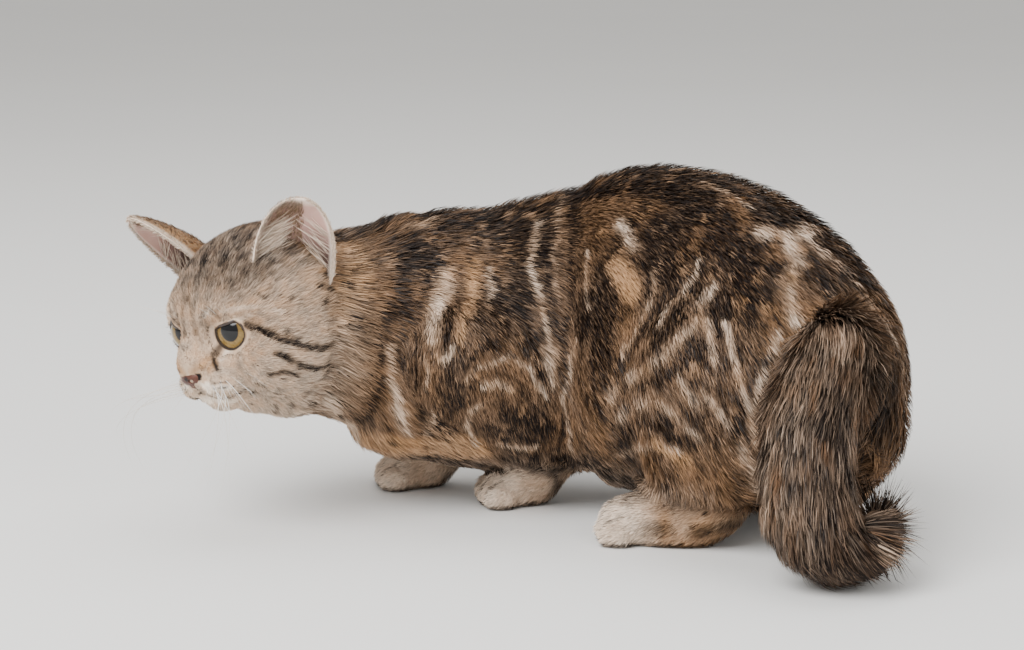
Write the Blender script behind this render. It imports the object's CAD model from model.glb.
"""A life-size munchkin cat: skin, tabby coat, ears, eyes, nose, whiskers and a plain stage."""

import math

import bpy
import numpy as np
from bpy.props import FloatProperty, FloatVectorProperty, PointerProperty
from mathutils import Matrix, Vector
from mathutils.bvhtree import BVHTree
from mathutils.kdtree import KDTree


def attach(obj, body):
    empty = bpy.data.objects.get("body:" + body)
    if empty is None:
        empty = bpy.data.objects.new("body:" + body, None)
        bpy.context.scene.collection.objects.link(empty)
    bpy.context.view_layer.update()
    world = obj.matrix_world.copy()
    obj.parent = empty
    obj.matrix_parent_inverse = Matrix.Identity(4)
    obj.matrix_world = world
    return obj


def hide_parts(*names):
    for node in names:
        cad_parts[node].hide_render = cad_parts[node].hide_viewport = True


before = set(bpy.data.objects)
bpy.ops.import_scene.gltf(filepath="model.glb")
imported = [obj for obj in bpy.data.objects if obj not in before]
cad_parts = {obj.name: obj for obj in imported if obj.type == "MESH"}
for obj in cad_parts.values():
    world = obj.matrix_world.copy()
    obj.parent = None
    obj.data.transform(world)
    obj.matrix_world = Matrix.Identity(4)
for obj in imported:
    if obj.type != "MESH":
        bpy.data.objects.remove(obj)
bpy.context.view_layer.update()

bl_info = {
    "name": "Munchkin cat",
    "version": (1, 0, 0),
    "blender": (4, 5, 0),
    "location": "3D View > Sidebar > Cat",
    "description": "Skin, tabby coat, ears, eyes and whiskers of a life-size munchkin cat",
    "category": "Add Mesh",
}

SEED = 11

# Millimetres in the frame that the solids were drawn in: head towards -Y, left side towards +X.
SKULL_CENTRE = np.array((1.0, -124.0, 104.3))
HEAD_TURN = (50.0, 18.0, 9.0)
RUMP_POINT = np.array((75.0, 148.0))
RUMP_HEADING, CHEST_HEADING = 60.0, -10.0
BEND_START, BEND_END, CHEST_END = 50.0, 215.0, 284.0
TRUNK_MIDDLE = 75.0
EYE_PLACE, EYE_RADIUS, EYE_GAZE = (24.5, 16.5, 0.0), 10.5, (1.0, 0.16, -0.04)
LID_OPENING, LID_SLANT = (8.9, 7.4), {1: 6.0, -1: 18.0}
LOOK = (1.0, 0.42, 0.36)
NOSE_PLACE, NOSTRIL = (48.5, 0.0, -13.0), (3.0, 3.0, -1.0)
LIP_LINE = ((48, 0, -24), (47, 4, -26.5), (43, 9, -28.5), (37, 14, -29), (30, 18, -28.5))
PHILTRUM = ((51, 0, -17.5), (50, 0, -21.5), (48, 0, -24.5))
TAIL_LINE = (
    (58, 138, 112), (74, 142, 106), (90, 138, 94), (104, 132, 76), (114, 129, 55),
    (120, 131, 34), (121, 139, 23), (117, 150, 21), (108, 157, 23),
)
TAIL_CORE = (12, 12, 11, 10.5, 10, 10, 10, 9, 7)
# Middle in plan, heading and length of each foot, and where the lines between its toes run
FEET = {
    "forepaw_left": ((-27, 5), -10, 39),
    "forepaw_right": ((-62, -47), -5, 38),
    "hind_foot_left": ((47, 72), 12, 66),
    "hind_foot_right": ((-14, 142), 50, 66),
}
TOE_LINES = (-8.0, 0.0, 8.0)
# Tips of the long whiskers, left and right
NEAR_WHISKERS = (
    (50, -145, 13), (50, -119, 37), (50, -131, 20), (50, -161, 22), (50, -154, 8), (50, -138, 10),
    (50, -111, 51),
)
FAR_WHISKERS = (
    (-40, -197, 42), (-40, -193, 52), (-40, -195, 29), (-40, -187, 14), (-40, -180, 10), (-40, -184, 34),
)
WHISKER_RADIUS, CHEEK_HAIR_RADIUS, BROW_HAIR_RADIUS = 0.22, 0.09, 0.10
# Front of the base, rear of the base and tip on the head, side of the opening and bluntness
EARS = {
    "ear_left": ((11.5, 26, 25), (-17, 45.5, 8), (-17, 41, 46.5), 1, 2.7),
    "ear_right": ((10, -19, 34.5), (-8, -46, 8), (19.5, -39.5, 55.5), -1, 2.0),
}
EAR_CUP = 13.0
FLESH = (
    "head", "neck", "torso", "foreleg_left", "foreleg_right", "hind_leg_left", "hind_leg_right",
    "forepaw_left", "forepaw_right", "hind_foot_left", "hind_foot_right",
)
GROUPS = FLESH + ("tail",)

# The camera, to the cat's left, and the floor
LENS, SENSOR = 94.0, 36.0
CAMERA_RISE, CAMERA_DISTANCE = math.radians(11), 1300.0
CAMERA_AIM = np.array((-26.0, 0.0, 90.0))
FLOOR_HALF = 10.0

# Markings: half width, then places along each stripe on the cat's left side.
BACK_BLACK = (
    (3.3, ((-31, -78, 136), (-33, -63, 140), (-27, -44, 145), (-23, -30, 145), (-29, -11, 145),
           (-32, 4, 149), (-40, 19, 152), (-36, 33, 156), (-18, 52, 165), (-12, 70, 168), (2, 88, 166),
           (19, 106, 162), (21, 124, 157), (29, 142, 146), (39, 158, 132), (52, 168, 115), (57, 174, 98),
           (54, 179, 71))),
    (3.1, ((28, 167, 124), (46, 173, 110), (55, 177, 94), (53, 180, 70), (51, 181, 56))),
    (2.1, ((12, 135, 153), (32, 146, 143), (40, 151, 137))),
    (4.0, ((-34, -14, 146), (-22, 8, 149), (-8, -6, 137))),
    (3.5, ((-34, -40, 143), (-18, -30, 142))),
)
BLACK_AREAS = (
    (3.8, ((-26, -77, 141), (-19, -70, 144), (-13, -62, 145), (-7, -56, 141))),
    (6.2, ((-2, -51, 137), (4, -48, 131))),
    (5.2, ((8, -53, 127), (17, -53, 115), (20, -54, 105))),
    (5.7, ((-11, -38, 142), (-14, -27, 141), (-19, -14, 142), (-16, -2, 142), (-18, 9, 146),
           (-20, 16, 149))),
    (4.3, ((-11, -6, 138), (-2, 0, 132), (4, 0, 126))),
    (3.1, ((6, -2, 123), (14, -3, 110), (18, -1, 100), (25, -7, 94), (33, -16, 90), (35, -22, 82))),
    (7.1, ((25, 0, 55), (22, 11, 55), (16, 16, 45))),
    (3.8, ((19, -12, 49), (19, -3, 46), (15, 9, 40))),
    (3.3, ((-16, 28, 150), (1, 26, 136), (13, 26, 119), (21, 27, 105), (27, 29, 95))),
    (8.1, ((-22, 33, 156), (-8, 47, 161), (4, 65, 162), (20, 83, 159), (37, 96, 151))),
    (7.1, ((22, 66, 151), (37, 75, 143), (44, 73, 133))),
    (9.5, ((42, 93, 147), (58, 102, 135), (70, 108, 126))),
    (3.8, ((49, 71, 125), (52, 65, 114), (52, 58, 103), (48, 50, 91), (44, 44, 81))),
    (3.8, ((35, 37, 100), (36, 35, 86), (36, 35, 70), (37, 39, 58))),
    (3.3, ((53, 134, 140), (59, 140, 135), (63, 146, 129))),
    (3.3, ((24, 115, 159), (29, 131, 153), (35, 145, 143), (39, 158, 131), (40, 168, 119))),
    (3.6, ((26, 173, 114), (36, 178, 103), (48, 180, 90), (49, 182, 71))),
    (4.3, ((58, 53, 10), (60, 61, 10), (62, 69, 11))),
    (4.3, ((64, 86, 8), (64, 99, 11), (55, 107, 13))),
    (3.3, ((6, 20, 25), (-14, 23, 13), (-27, 22, 5))),
)
BLACK_LINES = (
    (2.6, ((19, -58, 111), (23, -61, 97), (21, -63, 82), (16, -64, 68), (10, -69, 55), (1, -74, 47))),
    (1.9, ((18, -47, 110), (21, -51, 97), (21, -53, 85), (20, -54, 76))),
    (1.7, ((0, -36, 133), (9, -40, 123), (17, -44, 111), (21, -46, 99), (25, -47, 84), (21, -48, 67))),
    (2.1, ((34, -33, 79), (28, -36, 69))),
    (2.4, ((33, -26, 73), (25, -23, 60), (22, -28, 58))),
    (1.2, ((32, -20, 70), (33, -13, 77), (30, -6, 79), (26, 4, 74), (23, 10, 66))),
    (1.2, ((21, 4, 91), (23, 11, 85), (23, 18, 75))),
    (2.1, ((-20, 16, 149), (-1, 15, 136), (10, 16, 121), (17, 19, 108), (20, 22, 94), (22, 23, 80),
           (22, 25, 66), (16, 24, 50), (9, 22, 36))),
    (2.4, ((77, 81, 102), (77, 76, 94), (71, 67, 87), (56, 57, 78))),
    (1.9, ((81, 91, 94), (85, 94, 85), (88, 98, 74), (89, 100, 67))),
    (1.4, ((78, 80, 75), (82, 86, 68), (84, 91, 62), (89, 97, 57))),
    (1.9, ((37, 42, 52), (47, 51, 59), (60, 61, 62), (68, 69, 60), (72, 78, 55))),
    (1.4, ((21, 44, 31), (35, 53, 38), (57, 63, 40), (66, 74, 36))),
    (1.2, ((52, 59, 47), (66, 70, 48), (70, 81, 45), (71, 88, 39))),
)
TAN_PATCHES = (
    (10.0, ((-24, -78, 34), (1, -61, 36), (5, -42, 34), (9, -22, 36))),
    (3.3, ((3, -20, 128), (11, -21, 116), (21, -22, 106), (32, -25, 97))),
    (6.2, ((28, 46, 130), (38, 52, 121))),
    (3.3, ((73, 149, 118), (78, 153, 108), (77, 155, 99))),
    (6.2, ((-3, -79, 136), (11, -74, 126), (19, -75, 116))),
    (3.8, ((61, 63, 53), (69, 76, 46))),
    (3.3, ((54, 58, 21), (57, 68, 24))),
    (6.0, ((-3, -80, 136), (11, -74, 127), (20, -76, 115), (18, -84, 100))),
)
PALE_PATCHES = (
    (2.4, ((-14, -51, 145), (-16, -44, 145), (-21, -40, 146))),
    (2.9, ((-22, 32, 19), (-13, 26, 16), (-5, 41, 18), (-8, 46, 15))),
    (3.8, ((8, -32, 124), (14, -34, 115), (20, -37, 105), (28, -39, 96))),
    (2.4, ((22, 17, 90), (22, 18, 80), (23, 19, 71))),
    (3.3, ((16, -55, 56), (12, -53, 46))),
    (2.9, ((13, 47, 148), (20, 51, 145), (26, 54, 139))),
    (2.1, ((61, 90, 127), (63, 85, 121), (70, 81, 113), (72, 75, 107), (70, 68, 99), (63, 60, 91),
           (51, 52, 83), (46, 46, 76), (42, 42, 69))),
    (2.4, ((75, 73, 85), (76, 76, 80), (79, 81, 76))),
    (2.1, ((44, 46, 61), (53, 55, 70), (66, 64, 75), (70, 71, 70), (73, 76, 64), (77, 82, 59))),
    (2.4, ((89, 100, 56), (90, 106, 47), (85, 108, 34))),
    (4.8, ((43, 113, 149), (45, 125, 147), (58, 128, 138))),
    (2.9, ((63, 125, 135), (74, 123, 125), (82, 126, 114))),
    (6.0, ((0, -90, 66), (-10, -84, 56), (-20, -70, 46))),
)
PALE_LINES = (
    (1.9, ((-12, 10, 143), (-4, 7, 135), (3, 6, 128), (9, 8, 121), (14, 11, 112))),
    (0.7, ((-25, 22, 153), (-5, 19, 141), (7, 17, 127), (15, 19, 114))),
    (1.0, ((26, 28, 94), (24, 26, 78), (21, 24, 63), (16, 26, 48), (8, 28, 35))),
    (1.4, ((3, -13, 126), (10, -12, 116), (14, -14, 110))),
    (1.4, ((17, 13, 108), (20, 15, 99), (22, 17, 90))),
    (1.2, ((33, -23, 73), (34, -17, 80), (31, -9, 84), (24, -1, 87))),
    (1.0, ((24, 1, 85), (23, 8, 79), (23, 12, 72), (22, 16, 64))),
    (1.9, ((32, -13, 71), (31, -7, 74), (28, 0, 71))),
    (1.4, ((29, -14, 62), (23, -20, 56), (18, -22, 48), (12, -20, 39))),
    (1.2, ((12, -8, 39), (13, 1, 37), (14, 12, 38))),
    (1.7, ((22, -58, 90), (20, -59, 77), (18, -57, 65), (16, -54, 55))),
    (1.2, ((29, -43, 88), (30, -41, 79), (22, -43, 67))),
    (1.9, ((33, -29, 94), (34, -33, 85), (32, -37, 89))),
    (1.9, ((19, -38, 53), (16, -40, 46), (12, -45, 42))),
    (1.4, ((11, 33, 134), (19, 32, 122), (27, 33, 111))),
    (1.2, ((41, 62, 128), (46, 64, 122), (48, 61, 115), (48, 56, 106), (47, 51, 98), (46, 48, 92))),
    (1.4, ((47, 84, 138), (52, 81, 131), (55, 77, 123), (57, 71, 117), (60, 65, 109))),
    (1.9, ((70, 86, 115), (77, 88, 105), (80, 90, 96))),
    (1.9, ((73, 94, 115), (81, 97, 102), (87, 100, 89), (90, 104, 74), (92, 106, 58))),
    (1.9, ((81, 85, 80), (84, 89, 74), (86, 94, 67))),
    (1.2, ((29, 45, 38), (44, 55, 47), (64, 65, 53), (69, 74, 51))),
    (1.4, ((6, 88, 165), (18, 100, 163), (29, 110, 157))),
    (1.9, ((35, 156, 135), (49, 158, 128), (59, 160, 120), (67, 162, 110))),
    (1.9, ((84, 117, 108), (88, 113, 99), (90, 109, 88), (90, 106, 76))),
)
# The same on the head: forwards, outwards and upwards from the middle of the skull
FACE_DARK = (
    (2.0, ((30, 29, 4), (27, 33, 1), (25, 37, -2), (23, 41, -6), (20, 44, -10), (16, 45, -14),
           (8, 45, -19), (-2, 45, -22))),
    (1.8, ((28, 40, -11), (25, 43, -16), (20, 44, -22), (13, 44, -27), (0, 41, -32))),
    (1.4, ((33, 36, -21), (28, 41, -22), (22, 42, -26))),
    (3.1, ((-5, 19, 36), (-2, 14, 37), (5, 14, 37), (8, 12, 37))),
    (2.5, ((9, 3, 37), (16, 3, 35), (20, 5, 33))),
    (2.5, ((16, 13, 33), (23, 15, 30), (27, 15, 28))),
    (2.2, ((15, 3, 35), (26, 1, 31), (34, 2, 26), (37, 2, 20))),
    (2.0, ((25, 7, 31), (34, 5, 25), (39, 4, 16), (41, 4, 6))),
    (1.3, ((35, 14, 21), (37, 11, 15), (38, 8, 8))),
    (1.3, ((33, 12, 25), (36, 13, 18), (36, 18, 11))),
    (1.3, ((-7, 44, 7), (-12, 44, 2), (-15, 45, 0))),
    (2.2, ((5, 16, 36), (12, 17, 34))),
    (1.3, ((37, 9, -2), (42, 12, -7), (44, 14, -11))),
)
FACE_WHITE = (
    (2.6, ((50, 8, -17), (50, 7, -22))),
    (2.6, ((50, 5, -19), (49, 14, -20), (44, 19, -23))),
    (2.4, ((46, 0, -28), (44, 8, -32), (37, 11, -33))),
    (1.2, ((34, 26, -4), (36, 19, -8), (40, 15, -8))),
    (1.9, ((28, 34, 8), (32, 25, 8))),
    (2.1, ((34, 21, 13), (29, 29, 13), (24, 38, 10), (17, 41, 4))),
    (1.7, ((35, 17, 18), (38, 11, 13))),
)
FACE_RUST = (
    (1.9, ((44, 10, -6), (47, 6, -9), (51, 3, -11))),
    (1.7, ((43, 13, -8), (46, 10, -10))),
)
PAD_SPOTS = (
    (0.9, ((49, 12, -17), (48.1, 13.2, -17))),
    (0.9, ((48, 16, -17), (47.1, 17.2, -17))),
    (0.9, ((45, 19, -18), (44.1, 20.2, -18))),
    (0.9, ((50, 11, -20), (49.1, 12.2, -20))),
    (0.9, ((49, 15, -21), (48.1, 16.2, -21))),
    (0.9, ((47, 17, -22), (46.1, 18.2, -22))),
    (0.9, ((42, 20, -23), (41.1, 21.2, -23))),
)


def unit(vectors):
    """The vectors at length one."""
    return vectors / np.maximum(np.linalg.norm(vectors, axis=-1, keepdims=True), 1e-9)


def dot(a, b):
    """The products of two lists of vectors, row by row."""
    return (a * b).sum(-1)


def ease(low, high, values):
    """0 below low, 1 above high and smooth between them."""
    share = np.clip((values - low) / (high - low), 0, 1)
    return share * share * (3 - 2 * share)


def head_axes():
    """Forwards, left and up on the turned and tilted head, as rows."""
    yaw, pitch, roll = (math.radians(turn) for turn in HEAD_TURN)
    forward = np.array((math.sin(yaw) * math.cos(pitch), -math.cos(yaw) * math.cos(pitch), -math.sin(pitch)))
    level = np.array((math.cos(yaw), math.sin(yaw), 0.0))
    left = level * math.cos(roll) + np.cross(forward, level) * math.sin(roll)
    return np.array((forward, left, np.cross(forward, left)))


HEAD_AXES = head_axes()


def on_head(place):
    """Places given forwards, left and up on the head, in the drawing frame."""
    return SKULL_CENTRE + np.asarray(place, float) @ HEAD_AXES


def in_head(points):
    """Forwards, left and up on the head, of points in the drawing frame."""
    return (points - SKULL_CENTRE) @ HEAD_AXES.T


def node_arrays(name):
    """A solid's welded corners in metres, and its triangles."""
    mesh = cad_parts[name].data
    mesh.calc_loop_triangles()
    corners = np.empty(len(mesh.vertices) * 3)
    mesh.vertices.foreach_get("co", corners)
    triangles = np.empty(len(mesh.loop_triangles) * 3, np.int32)
    mesh.loop_triangles.foreach_get("vertices", triangles)
    corners = corners.reshape(-1, 3)
    _, first, back = np.unique(np.round(corners, 6), axis=0, return_index=True, return_inverse=True)
    triangles = back.reshape(-1)[triangles].reshape(-1, 3)
    real = (triangles[:, 0] != triangles[:, 1]) & (triangles[:, 1] != triangles[:, 2])
    real &= triangles[:, 0] != triangles[:, 2]
    return corners[first], triangles[real]


SHIFT = node_arrays("eye_left")[0].mean(0) * 1000 - on_head(EYE_PLACE)
SHIFT[2] = 0.0


def to_frame(points):
    """Drawing millimetres to metres in the row's frame."""
    return (points + SHIFT) * 0.001


def from_frame(points):
    """Metres in the row's frame to drawing millimetres."""
    return points * 1000 - SHIFT


def solid_tree(names):
    """A search tree of those solids' triangles in drawing millimetres, and whose each triangle is."""
    corners, faces, owners = [], [], []
    start = 0
    for index, name in enumerate(names):
        part, triangles = node_arrays(name)
        corners.append(from_frame(part))
        faces.append(triangles + start)
        owners += [index] * len(triangles)
        start += len(part)
    return BVHTree.FromPolygons(np.vstack(corners).tolist(), np.vstack(faces).tolist()), owners


def spine_table():
    """Length along the spine, place in plan and heading, run on straight past both ends."""
    lengths = np.arange(-70.0, 350.0, 1.0)
    middle = np.clip(lengths + 0.5, 0, CHEST_END)
    share = np.clip((middle - BEND_START) / (BEND_END - BEND_START), 0, 1)
    heading = np.radians(RUMP_HEADING + (CHEST_HEADING - RUMP_HEADING) * share)
    ways = np.stack((-np.sin(heading), -np.cos(heading)), axis=1)
    places = np.vstack(((0, 0), np.cumsum(ways[:-1], axis=0)))
    places += RUMP_POINT - places[np.argmin(np.abs(lengths))]
    return lengths, places, ways


SPINE_LENGTHS, SPINE_PLACES, SPINE_WAYS = spine_table()


def nearest_of(points, places):
    """Which of the places is nearest to each point."""
    nearest = np.empty(len(points), int)
    block = 20000
    for start in range(0, len(points), block):
        gaps = points[start : start + block, None] - places[None]
        nearest[start : start + block] = (gaps**2).sum(2).argmin(1)
    return nearest


def on_trunk(points):
    """Length along the spine, distance to its left, and the ways forwards and left there."""
    nearest = nearest_of(points[:, :2], SPINE_PLACES)
    ahead = SPINE_WAYS[nearest]
    left = np.stack((-ahead[:, 1], ahead[:, 0]), axis=1)
    gap = points[:, :2] - SPINE_PLACES[nearest]
    return SPINE_LENGTHS[nearest] + dot(gap, ahead), dot(gap, left), ahead, left


def smooth_line(knots, count):
    """Points spread evenly along a smooth curve through the knots."""
    knots = np.array(knots, float)
    padded = np.vstack([2 * knots[0] - knots[1], knots, 2 * knots[-1] - knots[-2]])
    fine = []
    for i in range(1, len(padded) - 2):
        a, b, c, d = padded[i - 1 : i + 3]
        for t in np.linspace(0, 1, 20, endpoint=False):
            square = (2 * a - 5 * b + 4 * c - d) * t**2
            cube = (3 * b - a - 3 * c + d) * t**3
            fine.append(0.5 * (2 * b + (c - a) * t + square + cube))
    fine = np.array(fine + [knots[-1]])
    run = np.concatenate([[0], np.cumsum(np.linalg.norm(np.diff(fine, axis=0), axis=1))])
    at = np.linspace(0, run[-1], count)
    return np.stack([np.interp(at, run, fine[:, k]) for k in range(3)], axis=1)


TAIL_STEPS = 60
TAIL_POINTS = smooth_line(TAIL_LINE, TAIL_STEPS)
TAIL_WAYS = unit(np.gradient(TAIL_POINTS, axis=0))


def on_tail(points):
    """The step of the tail nearest to each point."""
    return nearest_of(points, TAIL_POINTS)



def noise(points, size, seed):
    """Smooth noise between -1 and 1, with lumps of about that size."""
    place = points / size
    cell = np.floor(place).astype(np.int64)
    part = place - cell
    part = part * part * (3 - 2 * part)
    total = np.zeros(len(points))
    for corner in np.ndindex(2, 2, 2):
        at = cell + corner
        mixed = (at[:, 0] * 73856093) ^ (at[:, 1] * 19349663) ^ (at[:, 2] * 83492791) ^ (seed * 40503)
        mixed = ((mixed ^ (mixed >> 13)) * 1274126177) & 0x7FFFFFFF
        weight = np.prod(np.where(corner, part, 1 - part), axis=1)
        total += weight * ((mixed >> 8) % 4096 / 2048 - 1)
    return total


def wandered(points, size, reach, seed):
    """The points moved a little by smooth noise."""
    moved = np.stack([noise(points, size, seed + k) for k in range(3)], axis=1)
    return points + moved * np.reshape(reach, (-1, 1))


def belongs(group, *names):
    """Which of the points belong to those groups."""
    return np.isin(group, [GROUPS.index(name) for name in names])


def on_foot(name, points):
    """Distances forwards and across from the middle of a foot."""
    middle, heading, _ = FEET[name]
    ahead = np.array((-math.sin(math.radians(heading)), -math.cos(math.radians(heading))))
    flat = points[:, :2] - middle
    return flat @ ahead, flat @ np.array((-ahead[1], ahead[0]))


def near_lines(points, normals, lines, soft):
    """1 on the stripes, 0 away from them. Distance through the skin hardly counts."""
    found = np.zeros(len(points))
    for half, line in lines:
        line = np.array(line, float)
        margin = half + soft + 4
        near = np.all((points > line.min(0) - margin) & (points < line.max(0) + margin), axis=1)
        part, out = points[near], normals[near]
        gap = np.full(len(part), 1e3)
        for a, b in zip(line[:-1], line[1:]):
            way = b - a
            share = np.clip((part - a) @ way / max(way @ way, 1e-9), 0, 1)
            off = part - a - share[:, None] * way
            off -= 0.9 * dot(off, out)[:, None] * out
            gap = np.minimum(gap, np.linalg.norm(off, axis=1))
        found[near] = np.maximum(found[near], ease(-half - soft, -half + soft, -gap))
    return found


def body_markings(points, group, normals):
    """Dark, tan and cream shares of the coat on trunk, neck, legs and feet."""
    along, aside, _, left = on_trunk(points)
    place = points.copy()
    far = aside < 0
    place[far, :2] -= 2 * aside[far, None] * left[far]
    out = normals.copy()
    out[far, :2] -= 2 * dot(out[far, :2], left[far])[:, None] * left[far]
    place = wandered(place, 15.0, np.where(far, 4.5, 0.9), SEED)
    grain = noise(points * (1, 1, 0.45), 5.0, SEED + 4)
    band = noise(points * (1, 1, 0.35), 13.0, SEED + 5)
    height = points[:, 2]
    rough = wandered(place, 5.0, np.full(len(place), 1.1), SEED + 40)
    marks = near_lines(rough, out, BLACK_AREAS, 4.0)
    marks = np.maximum(marks, near_lines(rough, out, BACK_BLACK + BLACK_LINES, 1.9))
    ground = 0.69 + 0.22 * ease(105, 155, height) + 0.36 * grain + 0.38 * band
    patch = near_lines(place, out, TAN_PATCHES, 3.0)
    pale = near_lines(rough, out, PALE_PATCHES, 3.2)
    pale = np.maximum(pale, 0.9 * near_lines(rough, out, PALE_LINES, 1.2))
    tan = np.maximum(0.30 + 0.2 * grain, np.maximum(0.9 * patch, 0.6 * pale))
    cream = np.maximum(0.04 + 0.08 * band, (0.31 + 0.3 * grain) * pale)
    cream = np.maximum(cream, 0.35 * ease(42, 16, height) * ease(20, 60, along))
    black = np.maximum(ground, marks) * (1 - (0.85 + 0.2 * grain) * np.maximum(pale, 0.85 * patch))
    above = np.array((black, tan, cream))
    for name, (_, _, length) in FEET.items():
        here = belongs(group, name)
        ahead, across = on_foot(name, points[here])
        toes = ease(-0.05 * length, 0.3 * length, ahead)
        low, rise = (0.46, 0.26) if name.startswith("fore") else (0.14, 0.64)
        cream[here] = low + rise * toes + 0.12 * grain[here]
        tan[here] = 0.75
        heel = ease(-0.25 * length, -0.45 * length, ahead) * ease(12, 3, height[here])
        black[here] = np.maximum(0.85 * ease(3.0, 0.8, height[here]), 0.85 * heel)
        black[here] = np.maximum(black[here], 0.8 * marks[here] * (1 - toes))
        toe_gap = np.min([np.abs(across - line) for line in TOE_LINES], axis=0)
        split = ease(1.3, 0.4, toe_gap) * ease(0.24 * length, 0.34 * length, ahead)
        black[here] = np.maximum(black[here], 0.8 * split * ease(19, 11, height[here]))
        share = ease(15, 27, height[here])
        for values, kept in zip((black, tan, cream), above):
            values[here] += share * (kept[here] - values[here])
    return black, tan, cream


def lid_shade(points):
    """1 on the lids' dark edges, 0 away from them, for places on the head."""
    shade = np.zeros(len(points))
    for side in (1, -1):
        local = (points - (EYE_PLACE[0], EYE_PLACE[1] * side, EYE_PLACE[2])) @ gaze_axes(side).T
        near = (local[:, 2] > 0) & (np.linalg.norm(local, axis=1) < EYE_RADIUS + 8)
        inner = ease(-2, -8, local[near, 0])
        shade[near] = ease(1.8 + 0.4 * inner, 0.8 + 0.3 * inner, lid_gap(local[near, :2]))
    return shade


def head_markings(points, normals):
    """Dark, tan and cream shares of the coat on the head."""
    place = in_head(points)
    place = wandered(place, 9.0, np.where(place[:, 1] < 0, 1.2, 0.4), SEED + 20)
    out = normals @ HEAD_AXES.T
    out[:, 1] *= np.where(place[:, 1] < 0, -1, 1)
    place[:, 1] = np.abs(place[:, 1])
    forward, left, up = place.T
    grain = noise(points, 3.5, SEED + 8)
    crown = ease(10, 30, up) * ease(44, 20, forward)
    rough = wandered(place, 3.0, np.full(len(place), 0.7), SEED + 50)
    dark, rust = near_lines(rough, out, FACE_DARK, 1.3), near_lines(place, out, FACE_RUST, 2.2)
    dark *= 1 - 0.45 * ease(24, 14, left) * ease(2, 8, up)
    light = near_lines(place, out, FACE_WHITE, 1.8) * (0.55 + 0.45 * ease(32, 40, forward))
    streak = noise(place * (0.4, 1, 1), 2.2, SEED + 60)
    black = 0.18 + (0.52 + 0.4 * streak) * crown + 0.30 * grain + 0.30 * ease(2, -25, forward)
    black = np.maximum(black * (1 - 0.95 * light), (0.95 + 0.3 * grain) * dark)
    black = np.maximum(black, 0.95 * lid_shade(in_head(points)))
    tan = np.maximum(0.88 + 0.15 * grain - 0.6 * crown, rust)
    cream = 0.36 + 0.2 * grain - 0.04 * crown + 0.2 * ease(-5, -30, up) - 0.25 * ease(0, -25, forward)
    cream = np.maximum(cream, light) * (1 - 0.85 * rust)
    mouth = near_lines(place, out, ((0.9, LIP_LINE), (0.5, PHILTRUM)), 0.5)
    beside = np.abs(in_head(points)) - np.abs(np.array(NOSE_PLACE) + NOSTRIL)
    hollow = ease(2.4, 1.6, np.hypot(beside[:, 1], beside[:, 2])) * ease(43, 45, forward) * (up < 0)
    spots = near_lines(place, out, PAD_SPOTS, 0.9)
    return np.maximum(black, np.maximum(np.maximum(mouth, hollow), spots)), tan, cream


def tail_markings(points):
    """Dark, tan and cream shares of the coat on the tail, blackest along its top and at its end."""
    step = on_tail(points)
    out = unit(points - TAIL_POINTS[step])
    streak = noise(points * (1, 1, 0.3), 4.0, SEED + 12)
    top = (0.85 + 0.3 * streak) * ease(0.60, 0.92, out @ unit(np.array((1.0, 0.35, 0.1))))
    black = np.maximum(0.64 + 0.42 * streak, 0.95 * top)
    black = np.maximum(black, 0.9 * ease(36, 48, step))
    return black, 0.14 + 0.2 * streak, 0.18 + 0.24 * streak


def markings(points, group, normals):
    """Dark, tan and cream shares of the coat at points of those groups, run together at the joins."""
    found = np.array(body_markings(points, group, normals))
    here = belongs(group, "head", "neck")
    share = ease(-30, 6, (points[here] - (-13, -108, 100)) @ unit(np.array((0.47, -0.87, 0.10))))
    found[:, here] += share * (np.array(head_markings(points[here], normals[here])) - found[:, here])
    here = belongs(group, "tail")
    share = ease(4, 14, on_tail(points[here]))
    found[:, here] += share * (np.array(tail_markings(points[here])) - found[:, here])
    return np.clip(found, 0, 1)


# Meshes


def new_mesh(name, points, faces, values=None, layer=None):
    """A mesh from drawing millimetres, lists of faces by size, values at the corners and a UV map."""
    mesh = bpy.data.meshes.new(name)
    mesh.vertices.add(len(points))
    mesh.vertices.foreach_set("co", to_frame(points).astype(np.float32).ravel())
    corners = np.concatenate([part.ravel() for part in faces]).astype(np.int32)
    sizes = np.concatenate([np.full(len(part), part.shape[1]) for part in faces])
    mesh.loops.add(len(corners))
    mesh.loops.foreach_set("vertex_index", corners)
    mesh.polygons.add(len(sizes))
    mesh.polygons.foreach_set("loop_start", (np.cumsum(sizes) - sizes).astype(np.int32))
    for key, value in (values or {}).items():
        mesh.attributes.new(key, "FLOAT", "POINT").data.foreach_set("value", value.astype(np.float32))
    if layer is not None:
        uv = mesh.uv_layers.new(name="OFBake")
        uv.data.foreach_set("uv", layer[corners].astype(np.float32).ravel())
    mesh.update(calc_edges=True)
    mesh.validate()
    return mesh


def place_piece(name, mesh, finish, nodes=()):
    """Adds a finished piece to the scene, rides it and says what it stands for."""
    made = bpy.data.objects.new(name, mesh)
    bpy.context.scene.collection.objects.link(made)
    made.data.materials.append(finish)
    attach(made, "root")
    if nodes:
        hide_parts(*nodes)


def with_modifiers(made):
    """The object's mesh with its modifiers applied, as corners in millimetres and lists of faces."""
    mesh = made.evaluated_get(bpy.context.evaluated_depsgraph_get()).to_mesh()
    corners = np.empty(len(mesh.vertices) * 3)
    mesh.vertices.foreach_get("co", corners)
    mesh.calc_loop_triangles()
    triangles = np.empty(len(mesh.loop_triangles) * 3, np.int32)
    mesh.loop_triangles.foreach_get("vertices", triangles)
    data = made.data
    bpy.data.objects.remove(made)
    bpy.data.meshes.remove(data)
    return from_frame(corners.reshape(-1, 3)), triangles.reshape(-1, 3)


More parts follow.
